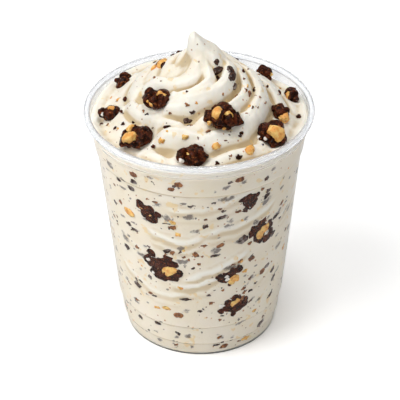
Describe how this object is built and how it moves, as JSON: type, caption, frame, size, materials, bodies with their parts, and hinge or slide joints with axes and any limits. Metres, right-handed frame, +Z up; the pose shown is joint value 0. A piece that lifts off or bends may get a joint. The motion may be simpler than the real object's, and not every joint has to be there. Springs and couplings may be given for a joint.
{
  "type": "blended ice cream cup",
  "caption": "Clear plastic cup filled past the brim with blended vanilla ice cream drawn up into a swirled peak, with chocolate and peanut chunks on top and at the wall.",
  "frame": {"origin": "middle of the cup's foot, on the table", "axes": "+Z up along the cup's axis, -Y towards the front of the picture"},
  "size_m": [0.0974, 0.0974, 0.142],
  "materials": {
    "clear_plastic": "clear, smooth and glossy",
    "vanilla_ice_cream": "soft satin, slightly wet cream",
    "chocolate_peanut": "rough dark chocolate with a patchy gloss",
    "peanut": "matt broken nut"
  },
  "bodies": {
    "root": {"cup": "clear_plastic", "ice_cream": "vanilla_ice_cream", "top_chunk_1": "chocolate_peanut", "top_chunk_2": "chocolate_peanut", "top_chunk_3": "chocolate_peanut", "top_chunk_4": "chocolate_peanut", "top_chunk_5": "chocolate_peanut", "top_chunk_6": "chocolate_peanut", "top_chunk_7": "chocolate_peanut", "top_chunk_8": "chocolate_peanut", "top_chunk_9": "chocolate_peanut", "top_chunk_10": "chocolate_peanut", "top_chunk_11": "chocolate_peanut", "top_chunk_12": "chocolate_peanut", "top_chunk_13": "chocolate_peanut", "wall_chunk_1": "chocolate_peanut", "wall_chunk_2": "chocolate_peanut", "wall_chunk_3": "chocolate_peanut", "wall_chunk_4": "chocolate_peanut", "wall_chunk_5": "chocolate_peanut", "wall_chunk_6": "chocolate_peanut", "wall_chunk_7": "chocolate_peanut", "wall_chunk_8": "chocolate_peanut", "wall_chunk_9": "chocolate_peanut", "wall_chunk_10": "chocolate_peanut", "wall_chunk_11": "chocolate_peanut", "wall_chunk_12": "chocolate_peanut"}
  },
  "joints": []
}
